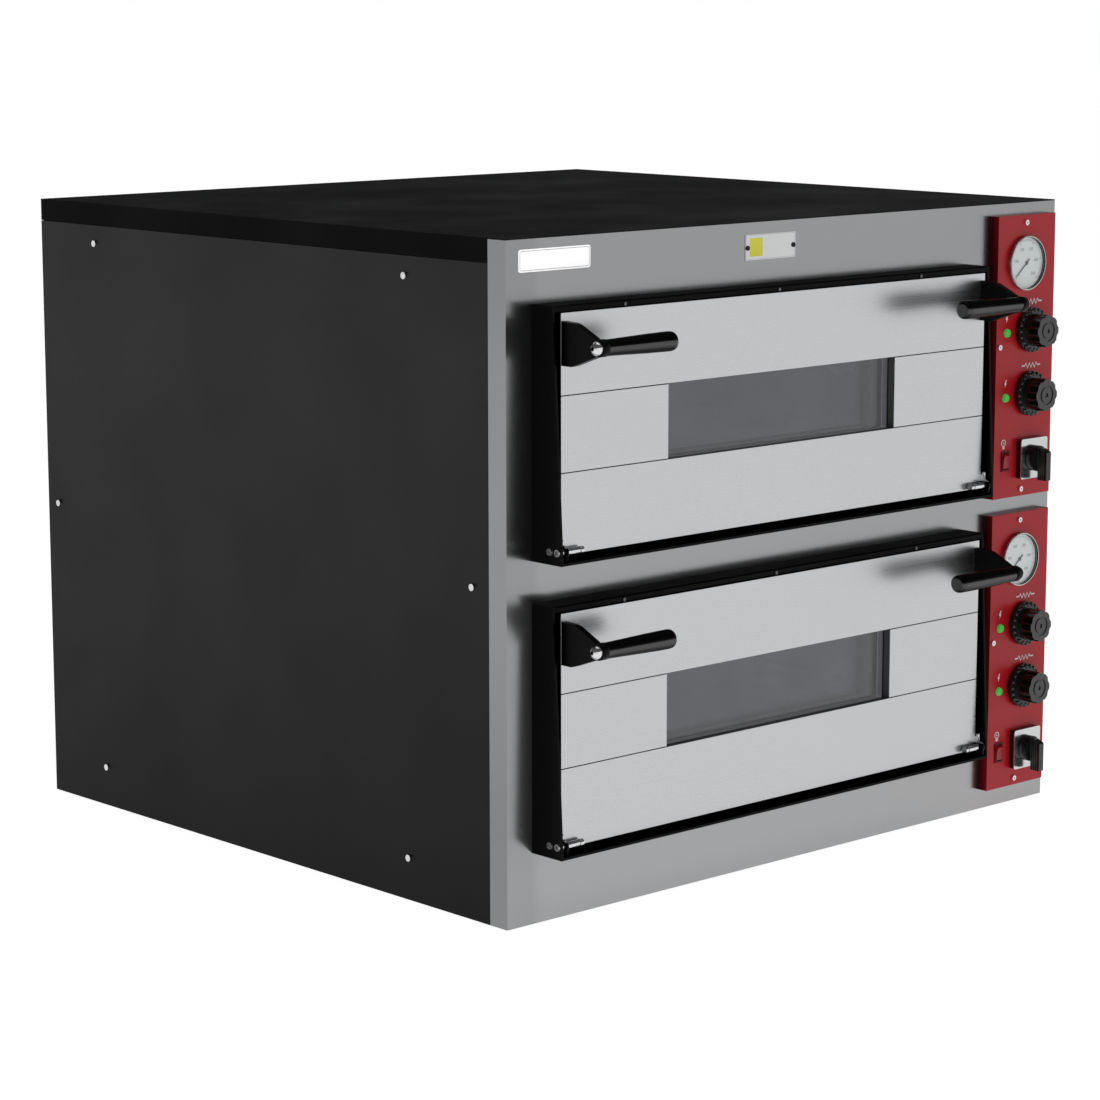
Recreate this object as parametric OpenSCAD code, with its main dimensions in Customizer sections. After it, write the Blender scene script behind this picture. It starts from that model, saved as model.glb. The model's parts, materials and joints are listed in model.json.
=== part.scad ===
// Two-deck electric countertop pizza oven: folded sheet cabinet, two baking
// chambers with stone floors, two bottom-hinged insulated doors, and one
// control panel per deck. Front faces -Y, +Z is up, origin at the centre of
// the underside of the cabinet. All sizes in mm.

/* [Cabinet] */
// Overall width of the cabinet
body_w = 900; // [890:1:920]
// Overall depth of the cabinet, front face to rear panel
body_d = 858; // [850:1:900]
// Overall height of the cabinet
body_h = 746; // [746:1:760]
// Thickness of the cabinet sheet
sheet = 1; // [0.8:0.1:1.5]
// Depth of the stainless side returns of the front
return_d = 28; // [24:1:32]
// Height of the skirt of the top cover
skirt_h = 26; // [22:1:28]

/* [Decks] */
// Height of the underside of the lower door surround
lower_deck_z = 80; // [76:1:84]
// Distance from one deck to the next
deck_pitch = 321; // [318:1:324]
// Left side of the door surrounds, from the left side of the cabinet
surround_x = 36; // [32:1:40]
// Width of the door surrounds
surround_w = 703; // [701:1:705]
// Height of the door surrounds
surround_h = 275; // [275:1:277]
// How far the surround stands out at the top
surround_top_d = 33; // [31:1:35]
// How far the surround stands out at the bottom
surround_bottom_d = 47.5; // [46.5:0.5:50]

/* [Doors] */
// Width of a door
door_w = 683; // [681:1:683]
// Height of a door
door_h = 257.5; // [255:0.5:257.5]
// Distance of the door's face from the front of the cabinet
door_face = 36; // [35.5:0.5:36]
// Width of the window opening
window_w = 367; // [340:1:380]
// Height of the window opening
window_h = 83.5; // [70:0.5:90]
// Thickness of a window pane
pane_t = 4; // [3:0.5:4]

/* [Handles] */
// Length of a handle from the edge of the door to the tip of the grip
handle_len = 108; // [90:1:130]
// Diameter of a handle grip
grip_d = 21.5; // [20:0.5:23]
// Distance of the grip's axis from the door's face
grip_reach = 57.5; // [50:0.5:60]

/* [Chambers] */
// Inside width of a baking chamber
chamber_w = 660; // [650:1:660]
// Inside depth of a baking chamber
chamber_d = 660; // [640:1:670]
// Clear height of a baking chamber over the stone
chamber_h = 140; // [130:1:142]
// Thickness of the stone floor tiles
stone_t = 15; // [12:1:18]

/* [Control panels] */
// Width of a control panel
panel_w = 106; // [104:1:108]
// Height of a control panel
panel_h = 343; // [341:1:345]
// How far a control panel stands out of the cabinet
panel_d = 12; // [11:0.5:13]
// Diameter of the skirt of a thermostat knob
knob_d = 56; // [52:1:57]
// Diameter of the gauge bezel
gauge_d = 66; // [60:1:68]

/* [Hidden] */
$fn = 64;

c_black = [0.11, 0.11, 0.115];
c_side = [0.19, 0.19, 0.19];
c_steel = [0.62, 0.63, 0.64];
c_bright = [0.76, 0.76, 0.77];
c_red = [0.55, 0.13, 0.16];
c_chrome = [0.85, 0.85, 0.87];

// Cabinet corner at left, front, floor
ox = -body_w / 2;
oy = -body_d / 2;
cut_h = body_h - skirt_h;
cx = surround_x + surround_w / 2;       // centre line of the doors
door_l = cx - door_w / 2;
door_r = cx + door_w / 2;
st = 3;                                 // surround sheet
lip_h = 6.4;                            // folded front lip of the surround's top
door_z = 10;                            // door bottom over the surround's underside
piv_y = -door_face - 5;                 // hinge axis
piv_z = 14;
pin_r = 4;
stop_y = piv_y + 12;
seam = 1;                               // gap between the door plates
win_z = 97;                             // window sill over the surround's underside
skin = 1.5;
box_back = -3;
// chamber, heights over the surround's underside
stone_top = 69;
liner_z0 = 30;
liner_z1 = 240;
liner_x0 = cx - chamber_w / 2 - sheet;
liner_x1 = cx + chamber_w / 2 + sheet;
liner_y1 = sheet + chamber_d + sheet;
wall_x = liner_x1 + 15;                 // wall of the control compartment
heat_z = [43, 222];                     // floor and ceiling elements
heat_y = [100, 260, 420, 580];
// control panel, from its lower left corner
panel_x = 781 + (body_w - 900) + (106 - panel_w) / 2;
panel_z = [24.5, 388];
knob_u = 62;
knob_v = [125.5, 203.5];
lamp_u = 18.5;
lamp_v = [123, 202];
gauge_u = 50.5;
gauge_v = 285;
sw_u = 66.2;
sw_v = 46.2;
sw_h = 8.5;                             // height of the switch plate over the panel
rk_u = 20.5;
rk_v = 45.5;
screw_uv = [[51, panel_h - 9.3], [5.8, 185.4], [51, 8.6]];

function deck(k) = lower_deck_z + k * deck_pitch;

module place() { translate([ox, oy, 0]) children(); }
module rod_x(x0, x1, r) { translate([x0, 0, 0]) rotate([0, 90, 0]) cylinder(h = x1 - x0, r = r); }
module rod_y(y0, y1, r) { translate([0, y1, 0]) rotate([90, 0, 0]) cylinder(h = y1 - y0, r = r); }
// box from low corner to high corner
module bx(a, b) { translate(a) cube(b - a); }
// mirror about the doors' centre line
module both() { children(); translate([2 * cx, 0, 0]) mirror([1, 0, 0]) children(); }
// profile in the Y-Z plane pushed along +X
module prof_yz(x0, t, pts) { translate([x0, 0, 0]) rotate([90, 0, 90]) linear_extrude(height = t) polygon(pts); }
// profile in the X-Z plane facing the front, from y0 back by t
module prof_xz(y0, t, pts) { translate([0, y0 + t, 0]) rotate([90, 0, 0]) linear_extrude(height = t) polygon(pts); }

side_screw_yz = [[745, 697.6], [164, 697.6], [835, 370], [54.5, 370], [745, 48.5], [164, 48.5]];
rear_screw_xz = [[20, 697], [body_w / 2, 697], [body_w - 20, 697], [20, 370], [body_w - 20, 370], [20, 24], [body_w / 2, 24], [body_w - 20, 24]];

/* cabinet */
module base_pan() color(c_side) place() {
  bx([sheet, sheet, 0], [body_w - sheet, body_d - sheet, sheet]);
  bx([sheet, return_d + 1, sheet], [2 * sheet, body_d - sheet, 20]);
  bx([body_w - 2 * sheet, return_d + 1, sheet], [body_w - sheet, body_d - sheet, 20]);
  bx([2 * sheet, body_d - 2 * sheet, sheet], [body_w - 2 * sheet, body_d - sheet, 14]);
}

module side_sheet() difference() {
  union() {
    bx([0, return_d + 0.8, 0], [sheet, body_d, cut_h - 0.6]);
    bx([sheet, return_d + 0.8, 700.5], [12, body_d - 2 * sheet - 0.5, 702]);
  }
  for (p = side_screw_yz) translate([0, p[0], p[1]]) rod_x(-1, sheet + 1, 2);
}
module side_panel_left() color(c_side) place() side_sheet();
module side_panel_right() color(c_side) place() translate([body_w, 0, 0]) mirror([1, 0, 0]) side_sheet();

module rear_panel() color(c_side) place() difference() {
  bx([sheet, body_d - sheet, 0], [body_w - sheet, body_d, cut_h - 0.6]);
  for (p = rear_screw_xz) translate([p[0], 0, p[1]]) rod_y(body_d - 5, body_d + 1, 2);
  translate([body_w - 80, 0, 90]) rod_y(body_d - 5, body_d + 1, 10);
  translate([body_w - 40, 0, 60]) rod_y(body_d - 5, body_d + 1, 3);
  for (i = [0:5], j = [0:1]) bx([body_w - 145, body_d - 5, 200 + i * 22 + j * 250], [body_w - 25, body_d + 1, 205 + i * 22 + j * 250]);
}

module top_cover() color(c_black) place() {
  bx([0, 0, body_h - sheet], [body_w, body_d, body_h]);
  bx([0, return_d + 0.8, cut_h], [sheet, body_d, body_h - sheet]);
  bx([body_w - sheet, return_d + 0.8, cut_h], [body_w, body_d, body_h - sheet]);
  bx([sheet, body_d - sheet, cut_h], [body_w - sheet, body_d, body_h - sheet]);
}

module fascia() color(c_steel) place() difference() {
  union() {
    bx([0, 0, 0], [body_w, sheet, body_h - sheet]);
    bx([0, sheet, 0], [sheet, return_d, body_h - sheet]);
    bx([body_w - sheet, sheet, 0], [body_w, return_d, body_h - sheet]);
  }
  for (k = [0:1]) {
    bx([cx - chamber_w / 2, -1, deck(k) + stone_top - 1], [cx + chamber_w / 2, sheet + 1, deck(k) + stone_top + chamber_h]);
    bx([panel_x + 12.5, -1, panel_z[k] + 18], [panel_x + panel_w - 8, sheet + 1, panel_z[k] + panel_h - 19]);
    for (p = screw_uv) translate([panel_x + p[0], 0, panel_z[k] + p[1]]) rod_y(-1, sheet + 1, 2);
    for (p = flange_uv) translate([p[0], 0, deck(k) + p[1]]) rod_y(-1, sheet + 1, 1.6);
  }
  for (x = [361.5, 435.5]) translate([x, 0, 716.5]) rod_y(-1, sheet + 1, 1.6);
}

module pan_screw_y(y, r, h, shank_r, l) {
  translate([0, y, 0]) { rod_y(-h, 0, r); rod_y(-0.01, l, shank_r); }
}
module shell_screws() color(c_chrome) place() {
  for (p = side_screw_yz) {
    translate([0, p[0], p[1]]) { rod_x(-2.2, 0, 3.9); rod_x(-0.01, 8, 2); }
    translate([body_w, p[0], p[1]]) { rod_x(0, 2.2, 3.9); rod_x(-8, 0.01, 2); }
  }
  for (p = rear_screw_xz) translate([p[0], body_d, p[1]]) { rod_y(0, 2.2, 3.9); rod_y(-8, 0.01, 2); }
}

/* chambers */
module chamber(k) difference() {
  z = deck(k);
  union() {
    bx([liner_x0, sheet, z + liner_z0], [liner_x1, liner_y1, z + liner_z1]);
  }
  bx([liner_x0 + sheet, 0, z + liner_z0 + sheet], [liner_x1 - sheet, liner_y1 - sheet, z + liner_z1 - sheet]);
  for (h = heat_z, y = [heat_y[0], heat_y[3]]) translate([0, y, z + h]) rod_x(liner_x1 - 5, liner_x1 + 5, 4.5);
  translate([0, 180, z + 155]) rod_x(liner_x1 - 5, liner_x1 + 5, 20);
}
// ledges that carry the stones inside each chamber
module ledges(k) {
  z = deck(k) + stone_top - stone_t;
  both() bx([liner_x0 + sheet, 10, z - 2], [liner_x0 + sheet + 14, liner_y1 - 10, z]);
  for (y = [20, chamber_d / 2 - 7, chamber_d - 12]) bx([liner_x0 + sheet + 14, y, z - 2], [liner_x1 - sheet - 14, y + 14, z]);
}
module upper_chamber() color([0.66, 0.66, 0.65]) place() { chamber(1); ledges(1); }
module lower_chamber() color([0.66, 0.66, 0.65]) place() { chamber(0); ledges(0); }

module hearth_stones() color([0.72, 0.66, 0.56]) place()
  for (k = [0:1], i = [0:1], j = [0:1])
    bx([cx - chamber_w / 2 + 1 + i * (chamber_w / 2 - 0.5), sheet + 1 + j * (chamber_d / 2 - 0.5), deck(k) + stone_top - stone_t],
       [cx - 0.5 - 1 + 1 + i * (chamber_w / 2 - 0.5), sheet + chamber_d / 2 - 0.5 + j * (chamber_d / 2 - 0.5), deck(k) + stone_top]);

module bend(x, y, dir) translate([x, y, 0]) rotate([0, 0, dir > 0 ? -90 : 90]) rotate_extrude(angle = 180) translate([80, 0]) circle(r = 4);
module element(z) translate([0, 0, z]) {
  x0 = liner_x0 + 130;
  x1 = liner_x1 - 120;
  translate([0, heat_y[0], 0]) rod_x(x0, wall_x + 12, 4);
  translate([0, heat_y[1], 0]) rod_x(x0, x1, 4);
  translate([0, heat_y[2], 0]) rod_x(x0, x1, 4);
  translate([0, heat_y[3], 0]) rod_x(x0, wall_x + 12, 4);
  bend(x0, (heat_y[0] + heat_y[1]) / 2, -1);
  bend(x0, (heat_y[2] + heat_y[3]) / 2, -1);
  bend(x1, (heat_y[1] + heat_y[2]) / 2, 1);
}
module heating_elements() color([0.35, 0.33, 0.31]) place()
  for (k = [0:1], h = heat_z) element(deck(k) + h);

module inner_frame() color([0.55, 0.56, 0.57]) place() {
  // compartment wall
  difference() {
    bx([wall_x, sheet + 0.5, sheet], [wall_x + sheet, body_d - 2 * sheet, body_h - 6]);
    for (k = [0:1], h = heat_z, y = [heat_y[0], heat_y[3]]) translate([0, y, deck(k) + h]) rod_x(wall_x - 5, wall_x + 5, 4.5);
    for (k = [0:1]) translate([0, 180, deck(k) + 155]) rod_x(wall_x - 5, wall_x + 5, 21);
  }
  // bearers under each chamber, and their posts on the left
  for (y = [60, 560]) {
    for (k = [0:1]) {
      bx([8, y, deck(k) + liner_z0 - 30], [wall_x, y + 30, deck(k) + liner_z0 - 28]);
      bx([8, y, deck(k) + liner_z0 - 28], [wall_x, y + 2, deck(k) + liner_z0]);
    }
    bx([6, y, sheet], [8, y + 30, deck(1) + liner_z0]);
    bx([8, y, sheet], [36, y + 2, lower_deck_z + liner_z0 - 30]);
  }
}

module insulation_blankets() color([0.80, 0.77, 0.62]) place() difference() {
  union() for (k = [0:1]) {
    z = deck(k);
    // left, right and rear blankets
    bx([10, 12, z + liner_z0], [liner_x0, liner_y1 + 50, z + liner_z1]);
    bx([liner_x1, 12, z + liner_z0], [wall_x - 0.5, liner_y1 + 50, z + liner_z1]);
    bx([liner_x0, liner_y1, z + liner_z0], [liner_x1, liner_y1 + 50, z + liner_z1]);
    // ceiling blanket
    bx([10, 12, z + liner_z1], [wall_x - 0.5, liner_y1 + 50, z + liner_z1 + 40]);
  }
  for (k = [0:1]) {
    for (h = heat_z, y = [heat_y[0], heat_y[3]]) translate([0, y, deck(k) + h]) rod_x(liner_x1 - 5, wall_x + 5, 4.5);
    translate([0, 180, deck(k) + 155]) rod_x(liner_x1 - 5, wall_x + 5, 21);
  }
}

module chamber_lamps() color([0.9, 0.88, 0.8]) place()
  for (k = [0:1]) translate([0, 180, deck(k) + 155]) {
    rod_x(liner_x1 - sheet - 6, liner_x1 - sheet, 26);
    rod_x(liner_x1 - sheet - 0.01, wall_x + 25, 19.5);
  }

/* door surrounds */
module surround(k) {
  z = deck(k);
  h = surround_h;
  top = surround_top_d;
  bot = surround_bottom_d;
  both() prof_yz(surround_x, st, [[0, z], [-bot, z], [-top, z + h], [0, z + h]]);
  // top sheet, folded down at the front
  bx([surround_x + st, -top + 2, z + h - st], [surround_x + surround_w - st, 0, z + h]);
  translate([0, -top + 2, z + h - 2]) rod_x(surround_x + st, surround_x + surround_w - st, 2);
  bx([surround_x + st, -top, z + h - lip_h], [surround_x + surround_w - st, -top + 1.5, z + h - 2]);
  bx([surround_x + st, -bot + 0.2, z], [surround_x + surround_w - st, 0, z + st]);
  // inward flange against the fascia
  difference() {
    bx([surround_x + st, -skin, z + st], [surround_x + surround_w - st, 0, z + h - st]);
    bx([surround_x + st + 12, -skin - 1, z + st + 12], [surround_x + surround_w - st - 12, 1, z + h - st - 12]);
  }
}
flange_uv = [[surround_x + 9, 60], [surround_x + 9, 215], [surround_x + surround_w - 9, 60], [surround_x + surround_w - 9, 215]];
module pin_holes(k) both() {
  translate([0, piv_y, deck(k) + piv_z]) rod_x(surround_x - 1, surround_x + st + 1, pin_r);
  translate([0, stop_y, deck(k) + piv_z]) rod_x(surround_x - 1, surround_x + st + 1, pin_r);
}
rivet_x = [-246, -8, 230];
module surround_full(k) color(c_black) place() difference() {
  surround(k);
  pin_holes(k);
  for (x = rivet_x) translate([cx + x, 0, deck(k) + surround_h - lip_h + 2.1]) rod_y(-surround_top_d - 1, -surround_top_d + 6, 1.2);
  for (p = flange_uv) translate([p[0], 0, deck(k) + p[1]]) rod_y(-5, 5, 1.6);
}
module upper_surround() surround_full(1);
module lower_surround() surround_full(0);
module rivet(r, l, rs) { rod_y(-0.9, 0, r); rod_y(-0.01, l, rs); }
module blind_rivets() color(c_chrome) place() {
  for (k = [0:1], x = rivet_x) translate([cx + x, -surround_top_d, deck(k) + surround_h - lip_h + 2.1]) rivet(2, 2.3, 1.2);
  for (k = [0:1], p = flange_uv) translate([p[0], -skin, deck(k) + p[1]]) rivet(3.2, st + 1.5, 1.6);
  for (x = [361.5, 435.5]) translate([x, -0.8, 716.5]) rivet(2.8, st + 1.5, 1.6);
}

module pin_head() difference() {
  union() {
    rod_x(surround_x - 1.5, surround_x, 3.9);
    rod_x(surround_x - 0.01, surround_x + 4, pin_r);
  }
  // hexagon socket
  translate([surround_x - 2, 0, 0]) rotate([0, 90, 0]) cylinder(h = 3.5, r = 2.5, $fn = 6);
}
module hinge_pins() color(c_chrome) place() for (k = [0:1]) both() translate([0, piv_y, deck(k) + piv_z]) {
  pin_head();
  rod_x(surround_x + 3.99, door_l + 20, pin_r);
  // groove for a retaining clip
  rod_x(door_l + 19.99, door_l + 21.2, 3.2);
  rod_x(door_l + 21.19, door_l + 26, pin_r);
}
module stop_pins() color(c_chrome) place() for (k = [0:1]) both() translate([0, stop_y, deck(k) + piv_z]) {
  pin_head();
  rod_x(surround_x + 3.99, door_l - 0.5, pin_r);
}

/* doors */
win_l = cx - window_w / 2 + 0.5;
win_r = win_l + window_w;
module door_box(k) color([0.2, 0.2, 0.2]) place() {
  z0 = deck(k) + door_z;
  z1 = z0 + door_h;
  wz0 = deck(k) + win_z;
  wz1 = wz0 + window_h;
  f = -door_face + skin;
  difference() {
    bx([door_l, f, z0 + 0.5], [door_r, box_back, z1 - 2.5]);
    bx([door_l + 1.5, f + 1, z0 + 2], [door_r - 1.5, box_back - 1.5, z1 - 4]);
    bx([win_l, f - 1, wz0], [win_r, f + 2, wz1]);
    bx([win_l + 6, box_back - 3, wz0 + 4], [win_r - 6, box_back + 1, wz1 - 4]);
  }
  // reveal around the window, with a flange for the outer pane
  difference() {
    union() {
      bx([win_l - 1.5, f + 0.9, wz0 - 1.5], [win_r + 1.5, f + 8.5, wz1 + 1.5]);
      bx([win_l - 12, f + 7, wz0 - 12], [win_r + 12, f + 8.5, wz1 + 12]);
    }
    bx([win_l, f - 1, wz0], [win_r, f + 10, wz1]);
  }
  // posts that hold the panes apart
  for (x = [win_l + 20, win_r - 32]) bx([x, f + 0.9, wz0 - 12], [x + 12, box_back - 1.4, wz0 - 1.9]);
}
module door_strips(k) color(c_bright) place() {
  z0 = deck(k) + door_z;
  wz0 = deck(k) + win_z;
  bx([door_l, -door_face, z0], [door_r, -door_face + skin, wz0]);
  bx([door_l, -door_face, wz0 + window_h], [door_r, -door_face + skin, z0 + door_h]);
}
module door_side_plates(k) color(c_bright) place() {
  wz0 = deck(k) + win_z;
  bx([door_l, -door_face, wz0 + seam], [win_l, -door_face + skin, wz0 + window_h - seam]);
  bx([win_r, -door_face, wz0 + seam], [door_r, -door_face + skin, wz0 + window_h - seam]);
}
module door_panes(k) color([0.35, 0.37, 0.38, 0.6]) place() {
  wz0 = deck(k) + win_z;
  f = -door_face + skin;
  bx([win_l - 7, f + 8.5, wz0 - 1.9], [win_r + 7, f + 8.5 + pane_t, wz0 + window_h + 9]);
  bx([win_l - 4, box_back - 1.5 - pane_t, wz0 - 1.9], [win_r + 4, box_back - 1.5, wz0 + window_h + 5]);
}
module upper_door_box() door_box(1);
module lower_door_box() door_box(0);
module upper_door_strips() door_strips(1);
module lower_door_strips() door_strips(0);
module upper_door_side_plates() door_side_plates(1);
module lower_door_side_plates() door_side_plates(0);
module upper_door_panes() door_panes(1);
module lower_door_panes() door_panes(0);

hz = 235;                               // handle height over the surround's underside
grip_y = -door_face - grip_reach;
nose_r = grip_d / 2 - 1.4;
br_t = 8;
module bracket(k) {
  z = deck(k) + hz;
  difference() {
    union() {
      prof_yz(door_l, br_t, [[-door_face, z - 23], [-door_face - 15, z - 23], [-door_face - 20, z - 21.8], [grip_y + 2.5, z - nose_r + 0.3],
        [grip_y + 4.5, z + nose_r - 0.95], [-door_face - 29, z + 19.6], [-door_face - 24, z + 21.8], [-door_face - 18, z + 23.2], [-door_face, z + 24]]);
      translate([0, grip_y, z]) rod_x(door_l, door_l + br_t, nose_r);
    }
    translate([0, grip_y, z]) rod_x(door_l - 1, door_l + br_t + 1, 2.5);
  }
}
module grip(k) translate([door_l + br_t, grip_y, deck(k) + hz]) rotate([0, 90, 0]) difference() {
  l = handle_len - br_t;
  r = grip_d / 2;
  // tapered towards the bracket, rounded tip with a fine ring groove
  rotate_extrude() polygon([[0, 0], [r - 1.9, 0], [r - 1.5, 0.2 * l], [r - 0.9, 0.4 * l], [r - 0.3, 0.62 * l], [r, 0.82 * l],
    [r, l - 6.4], [r - 0.5, l - 6.1], [r - 0.5, l - 5.7], [r - 0.1, l - 5.4], [r - 0.4, l - 2.8], [r - 1.2, l - 1.2], [r - 2.4, l - 0.3], [r - 3.8, l], [0, l]]);
  translate([0, 0, -1]) cylinder(h = 21, r = 2.5);
}
module handle_screw(k) translate([0, grip_y, deck(k) + hz]) {
  // domed button head with a hexagon socket
  difference() {
    intersection() {
      translate([door_l - 1.64, 0, 0]) sphere(r = 7.86);
      rod_x(door_l - 10, door_l, 7.5);
    }
    translate([door_l - 11, 0, 0]) rotate([0, 90, 0]) cylinder(h = 6, r = 2.2, $fn = 6);
  }
  rod_x(door_l - 0.01, door_l + br_t + 16, 2.5);
}
module upper_handle_brackets() color(c_black) place() both() bracket(1);
module lower_handle_brackets() color(c_black) place() both() bracket(0);
module upper_handle_grips() color(c_black) place() both() grip(1);
module lower_handle_grips() color(c_black) place() both() grip(0);
module upper_handle_screws() color(c_chrome) place() both() handle_screw(1);
module lower_handle_screws() color(c_chrome) place() both() handle_screw(0);

module lug(k) {
  z = deck(k) + piv_z;
  y = piv_y;
  difference() {
    union() {
      // round boss over the pin
      translate([door_l - 3.2, y + 3.5, z + 4]) cylinder(h = 11.5, r = 2.7);
      prof_yz(door_l - 3, 3, [[y - 2, z], [y + 1, z + 7], [y + 1, z + 11.5], [y + 2, z + 12.5], [-14, z + 12.5], [-10, z + 9.5], [-10, z + 6], [y + 7, z + 6], [y + 4, z]]);
      translate([0, y, z]) rod_x(door_l - 3, door_l, 7.5);
      prof_yz(door_l - 3, 3, [[y - 6.5, z - 3], [y - 6.5, z - 8.5], [y - 5.5, z - 9.2], [y - 3.8, z - 10.1], [y - 3.8, z - 3]]);
    }
    translate([0, y, z]) rod_x(door_l - 7, door_l + 1, pin_r + 0.05);
  }
}
module upper_hinge_lugs() color(c_bright) place() both() lug(1);
module lower_hinge_lugs() color(c_bright) place() both() lug(0);

/* control panels, drawn from the panel's lower left corner */
module on_panel(k) place() translate([panel_x, 0, panel_z[k]]) children();
module at_uv(p) translate([p[0], 0, p[1]]) children();
module control_panel(k) color(c_red) on_panel(k) difference() {
  bx([0, -panel_d, 0], [panel_w, 0, panel_h]);
  bx([sheet, -panel_d + sheet, sheet], [panel_w - sheet, 1, panel_h - sheet]);
  for (p = screw_uv) at_uv(p) rod_y(-panel_d - 1, 1, 2);
  for (v = knob_v) at_uv([knob_u, v]) rod_y(-panel_d - 1, 1, 5);
  for (v = lamp_v) at_uv([lamp_u, v]) rod_y(-panel_d - 1, 1, 4.5);
  at_uv([gauge_u, gauge_v]) rod_y(-panel_d - 1, 1, gauge_d / 2 - 4);
  at_uv([sw_u, sw_v]) rod_y(-panel_d - 1, 1, 8);
  bx([rk_u - 6.3, -panel_d - 1, rk_v - 11.5], [rk_u + 6.3, 1, rk_v + 11.5]);
}
module upper_control_panel() control_panel(1);
module lower_control_panel() control_panel(0);

module control_panel_screws() color(c_chrome) for (k = [0:1]) on_panel(k)
  for (p = screw_uv) at_uv(p) pan_screw_y(-panel_d, 3.3, 2, 2, panel_d + 5);

module gauge_cases() color(c_chrome) for (k = [0:1]) on_panel(k) at_uv([gauge_u, gauge_v]) difference() {
  union() {
    rod_y(-panel_d - 6, -panel_d - 5.2, gauge_d / 2 - 0.5);
    rod_y(-panel_d - 5.21, -panel_d, gauge_d / 2);
    rod_y(-panel_d - 0.01, 22, gauge_d / 2 - 4);
  }
  rod_y(-panel_d - 7, -panel_d - 3.6, gauge_d / 2 - 1.8);
  rod_y(-panel_d - 7, -panel_d - 0.9, gauge_d / 2 - 2.6);
  rod_y(-panel_d - 7, 20.5, gauge_d / 2 - 5.5);
}
// card and the movement behind it
module gauge_dials() color([0.85, 0.86, 0.86]) for (k = [0:1]) on_panel(k) at_uv([gauge_u, gauge_v]) difference() {
  union() {
    rod_y(-panel_d - 1.7, -panel_d - 0.9, gauge_d / 2 - 2.6);
    rod_y(-panel_d - 0.91, 16, 13);
  }
  rod_y(-panel_d - 3, 14, 1.05);
}
module gauge_glasses() color([0.9, 0.92, 0.93, 0.3]) for (k = [0:1]) on_panel(k) at_uv([gauge_u, gauge_v])
  rod_y(-panel_d - 5.2, -panel_d - 3.6, gauge_d / 2 - 1.8);

module needle(k) color([0.05, 0.05, 0.05]) on_panel(k) at_uv([gauge_u, gauge_v]) {
  rod_y(-panel_d - 3.1, -panel_d - 1.9, 2.2);
  rod_y(-panel_d - 1.91, 12, 1);
  rotate([0, -130, 0]) prof_xz(-panel_d - 2.7, 0.5, [[-0.9, -7], [0.9, -7], [0.35, gauge_d / 2 - 7.2], [-0.35, gauge_d / 2 - 7.2]]);
}

module upper_gauge_needle() needle(1);
module lower_gauge_needle() needle(0);

module indicator_lamps() color([0.29, 0.69, 0.31]) for (k = [0:1]) on_panel(k) for (v = lamp_v) at_uv([lamp_u, v]) {
  rod_y(-panel_d - 1, -panel_d, 5.3);
  rod_y(-panel_d - 3, -panel_d - 0.99, 4.5);
  rod_y(-panel_d - 0.01, 12, 4.5);
}

module rounded_plate(a, r, y0, y1) difference() {
  union() {
    bx([-a, y0, -a + r], [a, y1, a - r]);
    bx([-a + r, y0, -a], [a - r, y1, a]);
    for (i = [-1, 1], j = [-1, 1]) translate([i * (a - r), 0, j * (a - r)]) rod_y(y0, y1, r);
  }
  rod_y(y0 - 1, y1 + 1, 8);
}
module switch_plates() color(c_steel) for (k = [0:1]) on_panel(k) at_uv([sw_u, sw_v])
  rounded_plate(24.6, 3, -panel_d - sw_h, -panel_d - sw_h + 1.2);
module lever(k) color(c_black) on_panel(k) at_uv([sw_u, sw_v]) {
  f = -panel_d - sw_h - 0.6;
  rod_y(f - 7, f, 15.8);
  rod_y(f - 8.2, f - 6.99, 14.6);
  // blade, standing off the plate where it's longer than the hub, with finger ribs along both flanks
  difference() {
    prof_yz(-4.2, 8.4, [[f - 22, -26], [f - 22, 8.5], [f - 21, 9.6], [f - 14, 13], [f, 13], [f, -13.5], [f - 8.3, -13.5], [f - 8.3, -26]]);
    for (i = [-1, 1], y = [f - 18.5, f - 15.5, f - 12.5, f - 9.5]) translate([i * 4.9, y, -30]) cylinder(h = 60, r = 1.1);
  }
  rod_y(f - 0.1, -2, 3);
}
module upper_main_lever() lever(1);
module lower_main_lever() lever(0);

module knob(k, v) color(c_black) on_panel(k) at_uv([knob_u, v]) {
  kr = knob_d / 2;
  difference() {
    union() {
      rod_y(-panel_d - 8, -panel_d - 1, kr - 4.2);
      rod_y(-panel_d - 6.4, -panel_d - 1, kr - 0.8);
      rod_y(-panel_d - 29, -panel_d - 7.99, 19.5);
    }
    // finger flutes around the cap, and the ring groove and dimple of its face
    for (i = [0:7]) rotate([0, i * 45 + 22.5, 0]) translate([26.4, 0, 0]) rod_y(-panel_d - 30, -panel_d - 9.5, 8.4);
    difference() { rod_y(-panel_d - 30, -panel_d - 27.9, 12.2); rod_y(-panel_d - 31, -panel_d - 27, 9.4); }
    rod_y(-panel_d - 30, -panel_d - 27.6, 2.6);
  }
  // beaded skirt
  for (i = [0:19]) rotate([0, i * 18, 0]) translate([kr - 4, -panel_d - 5.6, 0]) sphere(r = 3.4);
  rod_y(-panel_d - 1.01, 6, 3);
}
module upper_ceiling_knob() knob(1, knob_v[1]);
module upper_floor_knob() knob(1, knob_v[0]);
module lower_ceiling_knob() knob(0, knob_v[1]);
module lower_floor_knob() knob(0, knob_v[0]);

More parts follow.
